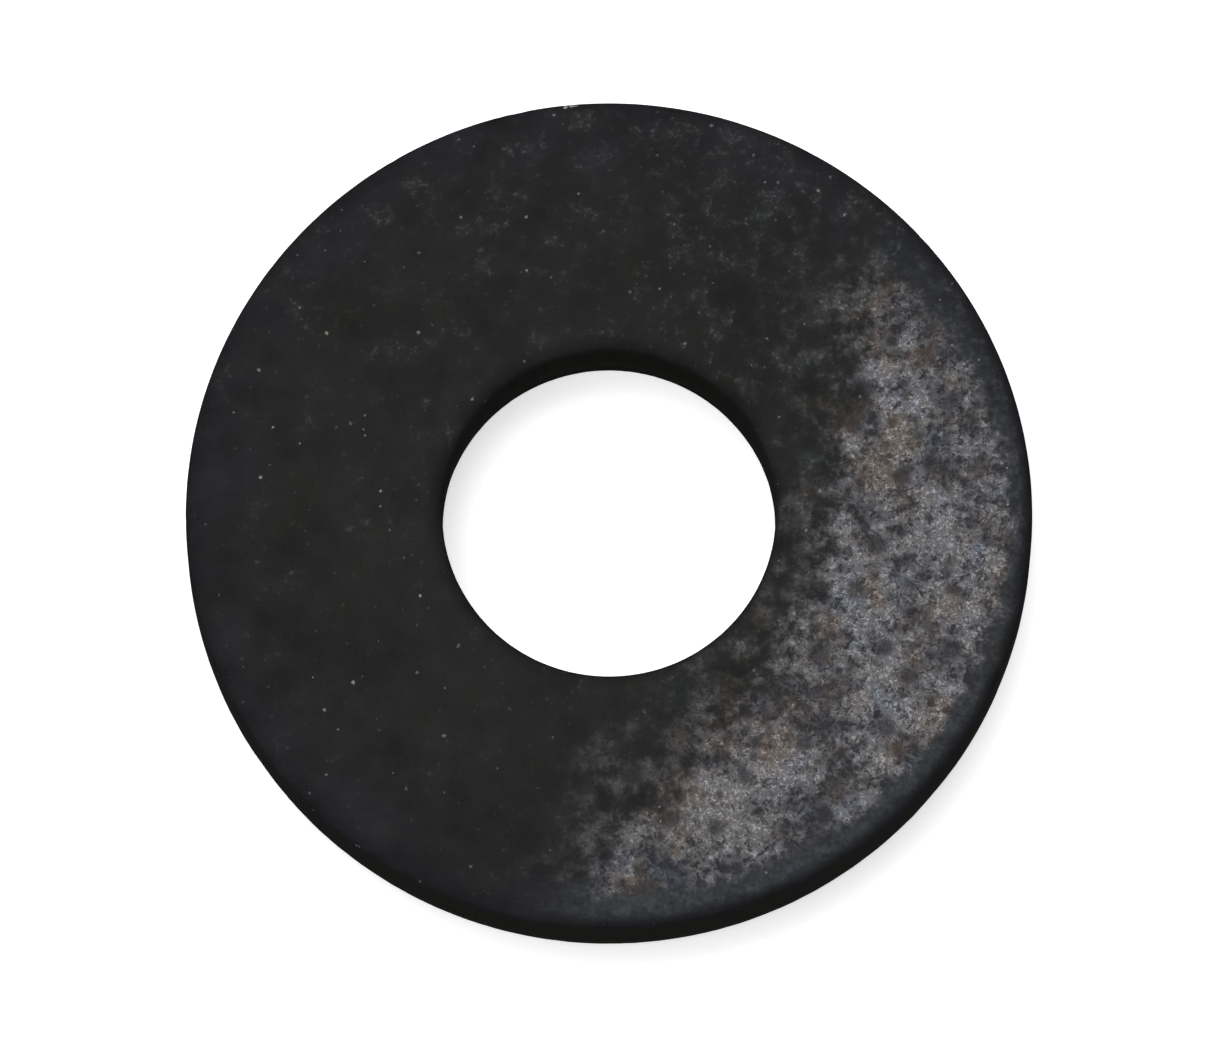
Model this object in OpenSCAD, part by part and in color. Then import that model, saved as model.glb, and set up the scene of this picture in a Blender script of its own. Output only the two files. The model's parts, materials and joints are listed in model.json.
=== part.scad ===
// Extra-thick flat washer, blanked from steel plate in one stroke of a compound die.
// The plate lies flat on z = 0 and the bolt's axis is Z.

/* [Plate] */
// Outside diameter, at the straight shear land of the rim
outside_d = 44.45; // [38:0.05:60]
// Thickness of the plate
plate_t = 5.56; // [3.4:0.02:8]

/* [Bolt hole] */
// Diameter of the hole, at its straight shear land
bore_d = 17.46; // [12:0.02:22]
// Width of the soft, drawn-in edge at the mouth of the hole
bore_roll_w = 0.9; // [0.6:0.05:1.5]
// Depth of that soft edge
bore_roll_h = 0.45; // [0.2:0.05:0.6]
// Height of the torn band under the shear land
bore_tear_h = 1.5; // [0.5:0.1:1.8]
// How far the torn band opens out at the underside
bore_tear_out = 0.08; // [0.05:0.01:0.4]

/* [Rim] */
// Width of the soft, drawn-down edge round the top face
rim_roll_w = 1.5; // [1.2:0.1:3]
// Depth of that soft edge
rim_roll_h = 0.55; // [0.2:0.05:1.2]
// Height of the torn band under the shear land
rim_tear_h = 1.4; // [0.5:0.1:1.8]
// How far the torn band leans in at the underside
rim_tear_in = 0.15; // [0.05:0.01:0.4]

/* [Underside] */
// Size of the tumbled edge breaks, which take the burr off
edge_break = 0.1; // [0.05:0.05:0.3]

/* [Hidden] */
$fn = 180;
bore_r = bore_d / 2;
rim_r = outside_d / 2;
bore_foot_r = bore_r + bore_tear_out;
rim_foot_r = rim_r - rim_tear_in;
// How far each cutter runs on past the metal that it trims
over = 1;

// Half of the plate cut through its middle, with square top corners
module plate_half() {
    polygon([
        [bore_r, plate_t],
        [bore_r, bore_tear_h],
        [bore_foot_r, edge_break],
        [bore_foot_r + edge_break, 0],
        [rim_foot_r - edge_break, 0],
        [rim_foot_r, edge_break],
        [rim_r, rim_tear_h],
        [rim_r, plate_t]
    ]);
}

// What a die roll takes off a corner at the origin that has its metal at -x and -y:
// everything outside an arc that leaves the face smoothly at -w and meets the wall at -h
module die_roll(w, h) {
    roll_r = (w * w + h * h) / (2 * h);
    translate([-w, -roll_r]) difference() {
        square([w + over, roll_r + over]);
        circle(roll_r);
    }
}

module washer_half() {
    difference() {
        plate_half();
        translate([rim_r, plate_t]) die_roll(rim_roll_w, rim_roll_h);
        translate([bore_r, plate_t]) mirror([1, 0]) die_roll(bore_roll_w, bore_roll_h);
    }
}

module washer() {
    color([0.13, 0.135, 0.14]) rotate_extrude() washer_half();
}

washer();
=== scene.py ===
import json
import bpy
import numpy as np
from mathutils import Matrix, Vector


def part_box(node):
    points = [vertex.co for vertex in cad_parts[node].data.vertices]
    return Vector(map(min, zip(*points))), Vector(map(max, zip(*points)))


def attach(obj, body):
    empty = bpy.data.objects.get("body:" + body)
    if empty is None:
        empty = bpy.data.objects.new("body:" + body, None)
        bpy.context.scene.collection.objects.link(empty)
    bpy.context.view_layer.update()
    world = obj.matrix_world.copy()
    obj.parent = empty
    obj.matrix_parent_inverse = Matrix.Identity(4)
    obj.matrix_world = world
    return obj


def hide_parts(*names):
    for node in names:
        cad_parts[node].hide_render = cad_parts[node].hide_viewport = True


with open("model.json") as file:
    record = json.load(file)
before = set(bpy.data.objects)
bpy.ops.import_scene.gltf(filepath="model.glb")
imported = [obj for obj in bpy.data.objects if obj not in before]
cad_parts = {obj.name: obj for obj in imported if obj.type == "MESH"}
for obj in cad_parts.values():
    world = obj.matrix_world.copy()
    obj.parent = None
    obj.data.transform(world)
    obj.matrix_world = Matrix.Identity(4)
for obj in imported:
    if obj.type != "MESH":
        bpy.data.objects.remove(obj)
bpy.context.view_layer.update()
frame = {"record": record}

# ---- The disc -----------------------------------------------------------------------------
# One round blank of steel plate, cut and pierced in the same stroke of a compound die, so both
# edges roll over on the top face, shear straight below that and tear at the foot. Tumbling then
# rounds every corner, and storage and handling leave small pits, nicks and a rubbed side.

MM = 0.001
low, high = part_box("washer")
thickness = high.z - low.z
rim_r = high.x
bolt_hole = next(m for m in frame["record"]["mounts"] if m["name"] == "bolt_hole")
bore_r = bolt_hole["dims"]["r_mm"] * MM

bore_roll_w = 0.9 * MM
bore_roll_h = 0.45 * MM
bore_tear_h = 1.5 * MM
bore_tear_out = 0.08 * MM
rim_roll_w = 1.5 * MM
rim_roll_h = 0.55 * MM
rim_tear_h = 1.4 * MM
rim_tear_in = 0.15 * MM
edge_break = 0.1 * MM
top_wear = 0.16 * MM
foot_wear = 0.05 * MM

face_in_r = bore_r + bore_roll_w

SPOKES = 768
RINGS = 128


def die_roll(wall_r, to_metal, width, depth, count=60):
    """The drawn-in edge at a cut, from the wall to the top face: an arc that leaves the face
    smoothly and meets the wall at that depth, so its radius is (width^2 + depth^2) / 2 depth."""
    radius = (width**2 + depth**2) / (2 * depth)
    across = np.linspace(0, width, count)
    drop = radius - np.sqrt(radius**2 - (width - across) ** 2)
    return np.column_stack([wall_r + to_metal * across, thickness - drop])


def cut_section():
    """Radius and height of the cut section's outline, once round from the foot of the hole,
    outwards under the plate, up the rim, in over the top face and down the hole."""
    rim_foot = rim_r - rim_tear_in
    bore_foot = bore_r + bore_tear_out
    return np.vstack([
        [[bore_foot + edge_break, 0], [rim_foot - edge_break, 0]],
        [[rim_foot, edge_break], [rim_r, rim_tear_h]],
        die_roll(rim_r, -1, rim_roll_w, rim_roll_h),
        die_roll(bore_r, 1, bore_roll_w, bore_roll_h)[::-1],
        [[bore_r, bore_tear_h], [bore_foot, edge_break]],
    ])


def walk(outline, count):
    """The closed outline at count even steps along its length, and the length of a step."""
    loop = np.vstack([outline, outline[:1]])
    length = np.r_[0, np.cumsum(np.hypot(*np.diff(loop, axis=0).T))]
    at = np.arange(count) / count * length[-1]
    return np.column_stack([np.interp(at, length, c) for c in loop.T]), length[-1] / count


def tumbled(outline, step, wear):
    """The outline with its corners worn round: each point becomes the average of its neighbours
    along the outline, weighted by a bell curve of that width."""
    waves = np.fft.fftfreq(len(outline), step)
    keep = np.exp(-2 * (np.pi * waves * wear) ** 2)
    return np.fft.ifft(np.fft.fft(outline, axis=0) * keep[:, None], axis=0).real


def between(value, start, end):
    """0 up to start and 1 from end, with the smooth step 3t^2 - 2t^3 between them."""
    t = np.clip((value - start) / (end - start), 0, 1)
    return t * t * (3 - 2 * t)


def outward(outline):
    """Unit normals of a closed outline that runs with the metal on its left."""
    along = np.roll(outline, -1, axis=0) - np.roll(outline, 1, axis=0)
    normal = np.column_stack([along[:, 1], -along[:, 0]])
    return normal / np.hypot(*normal.T)[:, None]


def ring_places(outline, step, count):
    """Which points of the fine outline the mesh's rings take. Their density is under one to the
    millimetre, more on the top face and the torn bands, and more again where it bends."""
    normal = outward(outline)
    turn = np.hypot(*(np.roll(normal, -1, axis=0) - normal).T) / step
    z = outline[:, 1]
    top = between(z, thickness - 0.1 * MM, thickness)
    torn = between(z, rim_tear_h + 0.4 * MM, rim_tear_h + 0.2 * MM) * between(z, 0, edge_break)
    density = (0.7 + 4.2 * top + 6 * torn) / MM + 6 * turn
    total = np.cumsum(density)
    wanted = (np.arange(count) + 0.5) / count * total[-1]
    return np.interp(wanted, total, np.arange(len(total))).round().astype(int)


def lattice_noise(points, cell, seed):
    """Smooth noise from 0 to 1: a random value at each corner of a grid of cubic cells, blended
    between the eight corners round a point with the weights 3t^2 - 2t^3."""
    place = points / cell
    corner = np.floor(place).astype(np.int64)
    t = place - corner
    t = t * t * (3 - 2 * t)
    total = np.zeros(points.shape[:-1])
    for step in np.ndindex(2, 2, 2):
        x, y, z = np.moveaxis(corner + step, -1, 0)
        value = (x * 73856093) ^ (y * 19349663) ^ (z * 83492791) ^ (seed * 2971215073)
        value = ((value ^ (value >> 15)) * 739982445) & 0xFFFFFFFF
        value = ((value ^ (value >> 15)) * 695872825) & 0xFFFFFFFF
        value = (value ^ (value >> 16)) / 0xFFFFFFFF
        total += np.where(step, t, 1 - t).prod(-1) * value
    return total


def layered_noise(points, cell, seed, layers=3):
    """Lattice noise in layers, each half the size and half the height of the one before."""
    share = 0.5 ** np.arange(layers)
    parts = [lattice_noise(points, cell * s, seed + i) * s for i, s in enumerate(share)]
    return sum(parts) / share.sum()


# The rubbed side of the top face, which also carries a painted sheen: how far its inner edge
# stands out in one direction, at places along the other, in millimetres.
RUB_OUT = np.array([0.891, -0.454])
RUB_ALONG = np.array([0.454, 0.891])
RUB_EDGE = np.array([
    (-23, 8.6), (-18, 9.2), (-13, 9.3), (-8, 10.2), (-2, 11.4),
    (4, 11.3), (8.5, 9.7), (11, 7.4), (15, 6.6), (20, 7),
])


def rubbed_depth(points):
    """How far inside the rubbed area's edge a point lies, in millimetres, negative outside it.
    The edge wanders by a millimetre or so with layered noise."""
    flat = points[..., :2] / MM
    edge = np.interp(flat @ RUB_ALONG, *RUB_EDGE.T)
    wander = layered_noise(points * [1, 1, 0], 3.2 * MM, 40) - 0.5
    return flat @ RUB_OUT - edge + 3.6 * wander


def bowls(points, centres, radii, depths=1):
    """The deepest of many round hollows, each depth * exp(-(distance / radius)^2)."""
    depths = np.broadcast_to(depths, len(centres))
    hollow = np.zeros(len(points))
    for centre, radius, depth in zip(centres, radii, depths):
        near = ((points - centre) ** 2).sum(-1) / radius**2
        hollow = np.maximum(hollow, depth * np.exp(-near))
    return hollow


# Marks on the rubbed side, each as x, y and radius in millimetres: hollows that rust has eaten,
# where the rubbed metal and its painted sheen are brightest, and where it is stained brown or blue.
HOLLOWS = np.array([
    (15.4, 1.8, 0.6), (14.1, -1.8, 0.6), (13.0, -4.2, 0.6), (11.0, -7.7, 0.7), (15.7, -8.8, 0.6),
    (18.0, -7.4, 0.6), (14.4, -11.5, 0.7), (11.3, -16.3, 0.6), (7.1, -14.2, 0.5), (1.2, -14.2, 0.7),
    (-1.4, -14.7, 0.7), (5.6, -16.9, 0.6), (3.2, -16.5, 0.6), (10.2, -12.5, 0.5), (13.4, 6.6, 0.6),
    (12.8, 4.7, 0.5), (17.8, 5.8, 0.7), (12.7, 8.1, 0.6), (16.9, 2.6, 0.5), (14.4, -7.3, 0.5),
])
BRIGHTEST = np.array([
    (13.6, -4.2, 2.6), (16.2, -1.4, 2.6), (17.2, -4.4, 2.4), (19.8, -2.4, 1.6), (6.0, -16.2, 2.0),
    (8.6, -13.8, 2.2), (13.6, 8.6, 2.0), (15.0, -9.2, 2.2), (15.4, 5.0, 1.6),
])
BROWN = np.array([
    (15.4, 4.6, 1.3), (14.0, 2.6, 1.4), (16.9, 9.0, 1.2), (13.9, -4.6, 1.1), (6.4, -11.4, 1.8),
    (8.9, -13.0, 1.2), (3.6, -14.6, 1.4), (17.8, 7.0, 1.2), (1.2, -19.3, 1.3), (11.8, -6.0, 1.0),
])
BLUE = np.array([
    (12.5, 8.9, 1.1), (19.2, -2.2, 1.4), (12.2, -16.8, 1.6), (15.8, -13.8, 1.5), (11.0, 7.4, 0.8),
    (3.4, -19.6, 1.4), (14.2, -9.8, 0.9), (19.6, 1.0, 1.0),
])


def smooth_mesh(name, points, faces):
    """A mesh of quads with smooth shading."""
    mesh = bpy.data.meshes.new(name)
    mesh.from_pydata(points, [], faces)
    mesh.shade_smooth()
    return mesh


def store(mesh, name, values):
    """Keeps one number for each vertex under that name, for the finish to read."""
    mesh.attributes.new(name, "FLOAT", "POINT").data.foreach_set("value", values.astype(np.float32))


even, even_step = walk(cut_section(), 7200)
top_share = between(even[:, 1:], rim_tear_h + 0.2 * MM, rim_tear_h + 1.2 * MM)
worn_top = tumbled(even, even_step, top_wear)
worn_foot = tumbled(even, even_step, foot_wear)
section = worn_top * top_share + worn_foot * (1 - top_share)
rings = ring_places(section, even_step, RINGS)
ring_r, ring_z = section[rings].T
ring_out, ring_up = outward(section)[rings].T

angle = np.arange(SPOKES) / SPOKES * 2 * np.pi
spoke = np.stack([np.cos(angle), np.sin(angle), np.zeros(SPOKES)], axis=-1)
up = np.array([0, 0, 1])
shape = (ring_r[:, None, None] * spoke + ring_z[:, None, None] * up).reshape(-1, 3)
normals = (ring_out[:, None, None] * spoke + ring_up[:, None, None] * up).reshape(-1, 3)
radius = np.hypot(shape[:, 0], shape[:, 1])
height = shape[:, 2]

facing_up = between(normals[:, 2], 0.7, 0.97)
facing_down = between(-normals[:, 2], 0.9, 0.995)
side = 1 - between(np.abs(normals[:, 2]), 0.2, 0.8)

# Pits in the top face, mostly on the rubbed side where rust has started.
draw = np.random.default_rng(7)
PITS_TRIED = 1100
pits_end_r = rim_r - 0.7 * MM
pit_r = np.sqrt(draw.uniform(face_in_r**2, pits_end_r**2, PITS_TRIED))
pit_angle = draw.uniform(0, 2 * np.pi, PITS_TRIED)
pit_at = np.column_stack([
    pit_r * np.cos(pit_angle), pit_r * np.sin(pit_angle), np.zeros(PITS_TRIED)
])
pit_chance = 0.05 + 0.4 * between(rubbed_depth(pit_at), -1, 2)
pit_at = pit_at[draw.uniform(0, 1, PITS_TRIED) < pit_chance, :2]
pit_size = draw.uniform(0.14, 0.38, len(pit_at)) * MM
small_pits = bowls(shape[:, :2], pit_at, pit_size, draw.uniform(0.3, 0.9, len(pit_at)))
hollows = bowls(shape[:, :2], HOLLOWS[:, :2] * MM, HOLLOWS[:, 2] * MM)
ragged = 0.45 + 0.85 * layered_noise(shape, 0.45 * MM, 61)
pits = np.maximum(small_pits, np.minimum(hollows * ragged, 1)) * facing_up

# Nicks along the corners where the soft edges meet the walls, and one longer knock on the far
# side of the rim, just above the corner: six bites in a row, of different sizes.
NICKS = 44
KNOCK_ANGLE = np.radians([94.3, 94.9, 95.3, 95.9, 96.2, 96.8])
KNOCK_SIZE = np.array([0.09, 0.17, 0.11, 0.16, 0.12, 0.07])
BITES = len(KNOCK_ANGLE)
knock_r = rim_r - 0.14 * MM
knock_drop = np.linspace(0.52, 0.40, BITES) * MM
nick_angle = np.r_[draw.uniform(0, 2 * np.pi, NICKS), KNOCK_ANGLE]
on_rim = draw.uniform(0, 1, NICKS) < 0.75
nick_ring = np.r_[np.where(on_rim, rim_r, bore_r), np.full(BITES, knock_r)]
nick_drop = np.r_[np.where(on_rim, rim_roll_h, bore_roll_h), knock_drop]
nick_at = np.column_stack([
    nick_ring * np.cos(nick_angle), nick_ring * np.sin(nick_angle), thickness - nick_drop
])
nick_size = np.r_[draw.uniform(0.08, 0.22, NICKS), KNOCK_SIZE] * MM
nick_deep = np.r_[draw.uniform(0.2, 0.8, NICKS), np.ones(BITES)]
nicks = bowls(shape, nick_at, nick_size, nick_deep)

# The torn bands: ragged along a wavering line, in grains that run up and down the wall.
tear_line = np.where(radius > (bore_r + rim_r) / 2, rim_tear_h, bore_tear_h)
tear_line = tear_line + 0.7 * MM * (layered_noise(shape * [1, 1, 0], 1.6 * MM, 11) - 0.5)
torn = side * between(height, tear_line + 0.06 * MM, tear_line - 0.06 * MM)
burnished = side * between(height, tear_line + 0.9 * MM, tear_line + 0.3 * MM) * (1 - torn)
burnished *= radius < (bore_r + rim_r) / 2
torn_grain = layered_noise(shape * [1, 1, 0.35], 0.42 * MM, 21)

# How deep each kind of wear goes, all of it inwards from the cut section.
wave_depth = 0.008 * MM
grain_depth = 0.006 * MM
rub_depth = 0.010 * MM
pit_depth = 0.035 * MM
nick_depth = 0.06 * MM
tear_depth = 0.055 * MM
wall_depth = 0.012 * MM
rubbed_face = facing_up * between(rubbed_depth(shape), -1, 1)
sunk = wave_depth * layered_noise(shape, 5 * MM, 3, 2) * (facing_up + facing_down)
sunk += grain_depth * layered_noise(shape, 0.7 * MM, 5) * facing_up
sunk += rub_depth * layered_noise(shape, 0.5 * MM, 8) * rubbed_face
sunk += pit_depth * pits + nick_depth * nicks
sunk += tear_depth * torn * torn_grain
sunk += wall_depth * layered_noise(shape * [1, 1, 0.2], 0.9 * MM, 31) * side
shape = shape - normals * sunk[:, None]

first = np.arange(RINGS * SPOKES).reshape(RINGS, SPOKES)
beside = np.roll(first, -1, axis=1)
above = np.roll(first, -1, axis=0)
quads = np.stack([first, beside, np.roll(above, -1, axis=1), above], axis=-1).reshape(-1, 4)

washer_mesh = smooth_mesh("washer_body", shape, quads)
store(washer_mesh, "rubbed", rubbed_depth(shape))
store(washer_mesh, "pit", pits)
store(washer_mesh, "brightest", bowls(shape[:, :2], BRIGHTEST[:, :2] * MM, BRIGHTEST[:, 2] * MM))
store(washer_mesh, "brown", bowls(shape[:, :2], BROWN[:, :2] * MM, BROWN[:, 2] * MM))
store(washer_mesh, "blue", bowls(shape[:, :2], BLUE[:, :2] * MM, BLUE[:, 2] * MM))
store(washer_mesh, "nick", nicks)
store(washer_mesh, "burnished", burnished)
washer = bpy.data.objects.new("washer_body", washer_mesh)
bpy.context.scene.collection.objects.link(washer)


class Wire:
    """One socket of a finish. Arithmetic on wires and numbers adds the Math nodes."""

    def __init__(self, finish, socket):
        self.finish = finish
        self.socket = socket

    def maths(self, operation, *values):
        """Adds a Math node with that operation."""
        return self.finish.node("ShaderNodeMath", {"operation": operation}, *values)

    def __add__(self, other):
        return self.maths("ADD", self, other)

    def __sub__(self, other):
        return self.maths("SUBTRACT", self, other)

    def __mul__(self, other):
        return self.maths("MULTIPLY", self, other)

    def __pow__(self, other):
        return self.maths("POWER", self, other)

    def __radd__(self, other):
        return self.maths("ADD", other, self)

    def __rsub__(self, other):
        return self.maths("SUBTRACT", other, self)

    def __rmul__(self, other):
        return self.maths("MULTIPLY", other, self)


class Finish:
    """The node tree of a material, or of the room's light."""

    def __init__(self, owner, shader="Principled BSDF"):
        owner.use_nodes = True
        self.owner = owner
        self.tree = owner.node_tree
        self.shader = self.tree.nodes[shader]

    def node(self, kind, settings=None, *values, out=0, **named):
        """Adds a node: its settings first, then its sockets' values or links in order, and by
        name. Returns one of its outputs as a wire."""
        made = self.tree.nodes.new(kind)
        for key, value in (settings or {}).items():
            setattr(made, key, value)
        for key, value in [*enumerate(values), *named.items()]:
            self.plug(made.inputs[key], value)
        return Wire(self, made.outputs[out])

    def plug(self, socket, value):
        """Links a wire to a socket, or sets a plain value, with an alpha of 1 on a colour."""
        if isinstance(value, Wire):
            self.tree.links.new(value.socket, socket)
        elif socket.type == "RGBA":
            socket.default_value = (*value, 1)
        else:
            socket.default_value = value

    def place(self):
        """Where a point lies on the piece, in metres."""
        return self.node("ShaderNodeTexCoord", out="Object")

    def stored(self, name):
        """A number that the mesh keeps for each vertex."""
        return self.node("ShaderNodeAttribute", {"attribute_name": name}, out="Fac")

    def noise(self, size, detail=3, roughness=0.6, curl=0, stretch=(1, 1, 1)):
        """Noise with features of about that size, from 0 to 1, curled up and stretched."""
        axes = {"vector_type": "TEXTURE"}
        where = self.node("ShaderNodeMapping", axes, self.place(), Scale=stretch)
        spread = {"Scale": 1 / size, "Detail": detail, "Roughness": roughness, "Distortion": curl}
        return self.node("ShaderNodeTexNoise", None, where, **spread)

    def step(self, value, start, end):
        """0 before start, 1 after end and smooth between."""
        smooth = {"interpolation_type": "SMOOTHSTEP"}
        limits = {"From Min": start, "From Max": end}
        return self.node("ShaderNodeMapRange", smooth, value, **limits)

    def blend(self, factor, first, second, way="MIX"):
        """The first colour where the factor is 0 and, where it is 1, the second, or the two
        multiplied."""
        mix = self.node("ShaderNodeMix", {"data_type": "RGBA", "blend_type": way}, out=2)
        sockets = mix.socket.node.inputs
        for socket, value in zip((sockets[0], sockets[6], sockets[7]), (factor, first, second)):
            self.plug(socket, value)
        return mix

    def tint(self, colour, strength):
        """The colour times a number."""
        scale = {"operation": "SCALE"}
        return self.node("ShaderNodeVectorMath", scale, colour, Scale=strength)


# Black oxide over tumbled steel: nearly black and satin, with stray bright specks, cloudy
# smudges, a side where the oxide is rubbed to grey and painted lighter as a sheen, and rust starting
# there and at the foot.
OXIDE_GREEN = (0.0100, 0.0110, 0.0102)
OXIDE_VIOLET = (0.0106, 0.0100, 0.0126)
OXIDE_BROWN = (0.0106, 0.0096, 0.0086)
WALL_BLACK = (0.0104, 0.0097, 0.0083)
WALL_BURNISHED = (0.0210, 0.0195, 0.0160)
SMUDGE = (0.082, 0.084, 0.088)
SPECK = (0.30, 0.30, 0.285)
# Greys of the rubbed side, partly rubbed oxide and partly a painted sheen.
RUBBED_SHEEN_DARK = (0.0172, 0.0164, 0.0192)
RUBBED_SHEEN_MID = (0.084, 0.081, 0.085)
# Bright of the painted glints on the rubbed side.
RUBBED_GLINT_BRIGHT = (0.44, 0.435, 0.445)
STAIN = (0.050, 0.042, 0.036)
WARM = (1.08, 0.98, 0.89)
COOL = (0.89, 0.99, 1.09)
SLATE = (0.034, 0.0385, 0.0435)
RUST = (0.085, 0.034, 0.016)
BARE_STEEL = (0.36, 0.35, 0.34)

oxide = Finish(bpy.data.materials.new("black_oxide_steel"))
x, y, z = (oxide.node("ShaderNodeSeparateXYZ", None, oxide.place(), out=i) for i in range(3))
from_axis = (x * x + y * y) ** 0.5
rubbed = oxide.stored("rubbed")
pit = oxide.stored("pit")
nick = oxide.stored("nick")

on_top = oxide.step(z, thickness - 0.45 * MM, thickness - 0.05 * MM)
clouds = oxide.noise(5 * MM, 2)
drift = oxide.noise(3 * MM, 3)
patches = oxide.noise(1.5 * MM, 4)
mottle = oxide.noise(0.62 * MM)
grit = oxide.noise(0.24 * MM, 2)
crumbs = oxide.noise(0.13 * MM, 2)

# The oxide itself drifts between green, violet and brown blacks.
violet = oxide.step(from_axis + 9 * MM * (clouds - 0.5), rim_r - 7 * MM, rim_r + 1 * MM)
colour = oxide.blend(violet, OXIDE_GREEN, OXIDE_VIOLET)
colour = oxide.blend(oxide.step(drift, 0.50, 0.72) * 0.8, colour, OXIDE_BROWN)
colour = oxide.tint(colour, 0.7 * crumbs + 1.2 * patches + 1.1 * clouds - 0.5)

# Smudges: small clouds of fine light crumbs, thicker towards one side of the face.
cloudy = oxide.step(mottle + 1.1 * (patches - 0.5) + 4 * (x + y), 0.57, 0.86)
crumbed = 0.18 + 0.82 * oxide.step(crumbs, 0.42, 0.70)
smudge = cloudy * (0.10 + oxide.step(grit, 0.46, 0.66) * crumbed)
colour = oxide.blend(smudge * on_top * 0.72, colour, SMUDGE)

# Where the oxide is rubbed, painted lighter as a sheen: a mottled ground, darker in the hollows,
# with bright curled lines and grains in clusters as painted glints, and broad faint stains of brown
# and blue.
curls = oxide.noise(0.34 * MM, 4, 0.62, 1.2)
ridge = 1 - 2 * oxide.node("ShaderNodeMath", {"operation": "ABSOLUTE"}, curls - 0.5)
depth = rubbed + 4 * (patches - 0.5) + 2.4 * (mottle - 0.5) + 1.2 * (grit - 0.5)

# It ends short of the rim, by least a little below the middle, and bends away from there on
# both sides, by a number per metre times the square of the way along, faster towards the top.
rub_gap = 0.95 * MM
rub_nearest_y = -4 * MM
bend = 1.9 + 3.0 * oxide.step(y, -6 * MM, -2 * MM)
rub_end = rim_r - rub_gap - bend * (y - rub_nearest_y) ** 2
rub_end = rub_end + 1.2 * MM * (patches - 0.5) + 0.9 * MM * (mottle - 0.5)
inside_rim = oxide.step(from_axis, rub_end + 0.6 * MM, rub_end - 0.7 * MM)
fading = 1 - 0.4 * oxide.step(y + 4 * MM * (clouds - 0.5), 9 * MM, 15 * MM)
# The rubbed area's mask: its grey is rubbed oxide and a painted sheen together.
rub_and_sheen = oxide.step(depth, -1.2, 2.0) * inside_rim * on_top * fading
faint = oxide.step(rubbed, -6, -1) * oxide.step(patches, 0.34, 0.62) * inside_rim * on_top

ragged_pit = pit + 0.6 * (grit - 0.5) + 0.7 * (mottle - 0.5)
hollow = 1 - 0.80 * oxide.step(ragged_pit, 0.12, 0.75)
broad = 0.9 * drift + 0.24 * oxide.stored("brightest")
ground = oxide.step(1.5 * curls + 1.1 * mottle + 0.6 * patches + broad, 1.80, 2.42) * hollow
grey = oxide.blend(ground, RUBBED_SHEEN_DARK, RUBBED_SHEEN_MID)
stain = oxide.noise(2.2 * MM, 5, 0.62)
brown = oxide.step(stain + 0.12 * oxide.stored("brown"), 0.49, 0.68)
blue = oxide.step(stain - 0.12 * oxide.stored("blue"), 0.45, 0.30)
grey = oxide.blend(brown * 0.4, grey, STAIN)
cluster = 0.12 + 0.88 * oxide.step(1.0 * mottle + 0.6 * patches + broad, 1.18, 1.54)
cluster = cluster * (0.4 + 0.6 * oxide.step(depth, -0.5, 3.5)) * hollow
broken = 0.15 + 0.85 * oxide.step(grit, 0.44, 0.62)
# Bright curled lines and grains: painted glints of the rubbed metal.
glint_threads = 0.53 * broken * oxide.step(ridge, 0.86, 0.99) + 0.26 * oxide.step(crumbs, 0.54, 0.74)
grey = oxide.blend(glint_threads * cluster, grey, RUBBED_GLINT_BRIGHT)
grey = oxide.blend(brown, grey, WARM, "MULTIPLY")
grey = oxide.blend(blue, grey, COOL, "MULTIPLY")
slate_grain = oxide.tint(SLATE, 1.5 * grit + 1.0 * mottle - 0.25)
towards_rim = oxide.step(from_axis, rub_end - 0.8 * MM, rub_end + 0.5 * MM)
grey = oxide.blend(towards_rim * 0.4, grey, slate_grain)
colour = oxide.blend(rub_and_sheen, colour, grey)
thinner = 0.2 * oxide.step(y, -6 * MM, 2 * MM) + 0.17 * oxide.step(y, 2 * MM, 8 * MM)
faint = faint * (0.5 - thinner)
colour = oxide.blend(faint * (1 - rub_and_sheen), colour, grey)

# A grained slate band carries on from there and part of the way down the rim's soft edge. It
# is thickest at the near side and thins towards the far one.
past_rub = oxide.step(from_axis, rub_end - 1.6 * MM, rub_end - 0.2 * MM)
short_of_rim = oxide.step(from_axis, rim_r - 0.1 * MM, rim_r - 0.9 * MM)
above_wall = oxide.step(z, thickness - 0.7 * MM, thickness - 0.3 * MM)
thick = 0.6 + 1.2 * (mottle - 0.5) + 0.3 * oxide.step(y, 2 * MM, -14 * MM)
thick = thick * (1 - 0.5 * oxide.step(y, 3 * MM, 12 * MM))
slate = oxide.step(rubbed, -5, 3) * past_rub * short_of_rim * above_wall * thick
colour = oxide.blend(slate * (1 - rub_and_sheen), colour, slate_grain)

# Specks: bits of bare steel that show through, of any size and brightness.
shaking = {"Scale": 1 / (0.15 * MM), "Detail": 1}
wobble = oxide.node("ShaderNodeTexNoise", None, oxide.place(), out="Color", **shaking)
shift = {"operation": "MULTIPLY_ADD"}
speck_place = oxide.node("ShaderNodeVectorMath", shift, wobble, (0.16 * MM,) * 3, oxide.place())
cells = {"Scale": 1 / (0.7 * MM)}
spot = oxide.node("ShaderNodeTexVoronoi", None, speck_place, **cells)
lot = oxide.node("ShaderNodeTexVoronoi", None, speck_place, out="Color", **cells)
light_lot, size_lot = (oxide.node("ShaderNodeSeparateColor", None, lot, out=i) for i in range(2))
reach = 0.07 + 0.13 * size_lot
bright = 0.05 + 0.95 * oxide.step(light_lot, 0.50, 1.25)
speck = oxide.step(spot, reach, reach * 0.2) * bright
colour = oxide.blend(speck * (0.25 + 0.75 * on_top), colour, SPECK)
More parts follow.
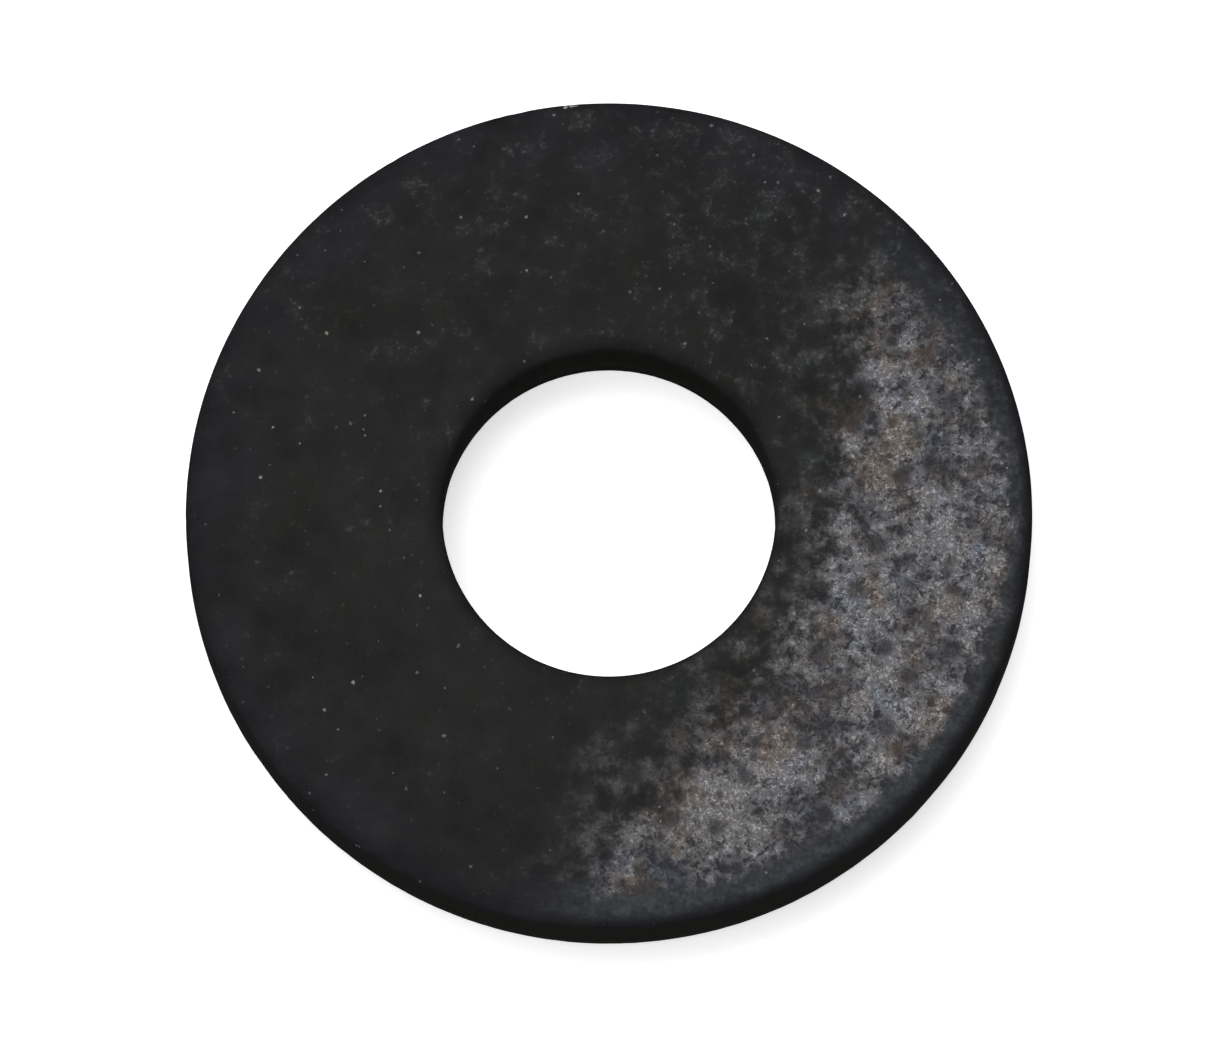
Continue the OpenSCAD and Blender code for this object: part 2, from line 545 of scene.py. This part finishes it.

# The walls, in the oxide's near-black; the hole's wall is painted darker still, and dark from
# higher up, as painted shade inside the hole. The hole has a line burnished just above its torn band,
# and rust runs along the foot.
# The hole's wall: darkened below as painted shade, and its dark starts higher up.
hole_shade = oxide.step(from_axis, bore_r + 3.0 * MM, bore_r + 1.5 * MM)
wall = 1 - oxide.step(z - 0.3 * MM * hole_shade, thickness - 1.3 * MM, thickness - 0.4 * MM)
under = oxide.step(z, 0.05 * MM, 0.0)
streaks = oxide.noise(0.5 * MM, 3, stretch=(1, 1, 6))
wall_colour = oxide.blend(oxide.stored("burnished") * 0.7, WALL_BLACK, WALL_BURNISHED)
# Darker in the hole as painted shade.
wall_colour = oxide.tint(wall_colour, (0.6 + 0.9 * streaks) * (1 - 0.36 * hole_shade))
colour = oxide.blend(wall * (1 - under) * (1 - 0.6 * speck), colour, wall_colour)
foot = oxide.step(z, 0.30 * MM, 0.05 * MM) * oxide.step(patches, 0.40, 0.60) * (1 - under)
colour = oxide.blend(foot * 0.8, colour, RUST)
ragged_nick = nick + 0.9 * (crumbs - 0.5) + 1.2 * (grit - 0.5)
chipped = oxide.step(ragged_nick, 0.45, 0.85)
colour = oxide.blend(chipped * 0.8, colour, BARE_STEEL)

oxide.plug(oxide.shader.inputs["Base Color"], colour)
oxide.plug(oxide.shader.inputs["Roughness"], 0.66 - 0.14 * rub_and_sheen + 0.12 * (crumbs - 0.5) + 0.24 * wall)
oxide.plug(oxide.shader.inputs["Metallic"], 0.2 * chipped + 0.28 * rub_and_sheen)
oxide.shader.inputs["Specular IOR Level"].default_value = 0.08

relief = crumbs * 0.35 + grit * (0.2 + 0.4 * rub_and_sheen) + mottle * 0.3 + 1.6 * curls * rub_and_sheen - 0.6 * speck
bump = oxide.node("ShaderNodeBump", Strength=0.45, Distance=0.02 * MM, Height=relief)
oxide.plug(oxide.shader.inputs["Normal"], bump)

washer_mesh.materials.append(oxide.owner)
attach(washer, "root")
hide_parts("washer")

# ---- The table ----------------------------------------------------------------------------
# A light table that the washer lies flat on, large enough to fill every view, with a faint glow
# that thins the shadows. It is seen from above only, so that the washer's underside can be
# looked at through it.

board_half = 3.0
board_mesh = bpy.data.meshes.new("table")
corners = np.array([(-1, -1), (1, -1), (1, 1), (-1, 1)]) * board_half
board_mesh.from_pydata(np.column_stack([corners, np.zeros(4)]), [], [(0, 1, 2, 3)])
board = bpy.data.objects.new("table", board_mesh)
bpy.context.scene.collection.objects.link(board)
board.visible_diffuse = False
board.visible_glossy = False

white = Finish(bpy.data.materials.new("light_table"))
white.plug(white.shader.inputs["Base Color"], (0.88, 0.88, 0.88))
white.plug(white.shader.inputs["Emission Color"], (1, 1, 1))
white.shader.inputs["Emission Strength"].default_value = 0.52
white.shader.inputs["Roughness"].default_value = 0.9
white.shader.inputs["Specular IOR Level"].default_value = 0.1
from_below = white.node("ShaderNodeNewGeometry", out="Backfacing")
clear = white.node("ShaderNodeBsdfTransparent")
seen = white.node("ShaderNodeMixShader", None, from_below, Wire(white, white.shader.outputs[0]), clear)
white.plug(white.tree.nodes["Material Output"].inputs["Surface"], seen)
board_mesh.materials.append(white.owner)

# ---- The light ----------------------------------------------------------------------------
# A dim room that looks white, two large soft boxes overhead, one of them further back, and a
# weak one in front that fills the near wall of the rim.

room_light = 0.20
room_white = 0.95
room = Finish(bpy.data.worlds.new("room"), "Background")
looked_at = room.node("ShaderNodeLightPath", out="Is Camera Ray")
room.plug(room.shader.inputs["Color"], (1, 1, 1))
room.plug(room.shader.inputs["Strength"], room_light + (room_white - room_light) * looked_at)
bpy.context.scene.world = room.owner


def soft_box(name, place, size, power):
    """A square area light at that place, aimed at the washer and unseen by the camera."""
    lamp = bpy.data.lights.new(name, "AREA")
    lamp.size = size
    lamp.energy = power
    box = bpy.data.objects.new(name, lamp)
    box.location = place
    box.rotation_mode = "QUATERNION"
    box.rotation_quaternion = Vector(place).to_track_quat("Z", "Y")
    box.visible_camera = False
    bpy.context.scene.collection.objects.link(box)


soft_box("back_box", (-0.3, 1.0, 1.5), 1.8, 26)
soft_box("top_box", (-0.5, 0.1, 1.9), 1.8, 22.5)
soft_box("front_fill", (0.3, -1.6, 0.6), 1.2, 8)

# ---- The camera ---------------------------------------------------------------------------
# A long lens a metre away, nearly straight above and leaning back a little, so that the far
# wall of the hole and the near side of the rim just show.

view_w = 64.0 * MM
distance = 1.0
tilt = np.radians(12.8)
sensor_w = 36

towards_camera = Vector((0, -np.sin(tilt), np.cos(tilt)))
picture_up = Vector((0, np.cos(tilt), np.sin(tilt)))
aim = Vector((-0.105 * MM, 0, 0)) + 0.627 * MM * picture_up
lens = bpy.data.cameras.new("camera")
lens.sensor_width = sensor_w
lens.lens = sensor_w * distance / view_w
lens.clip_start = 0.05
lens.clip_end = 20
camera = bpy.data.objects.new("camera", lens)
camera.location = aim + towards_camera * distance
camera.rotation_mode = "QUATERNION"
camera.rotation_quaternion = towards_camera.to_track_quat("Z", "Y")
bpy.context.scene.collection.objects.link(camera)
bpy.context.scene.camera = camera
bpy.context.scene.view_settings.view_transform = "Standard"
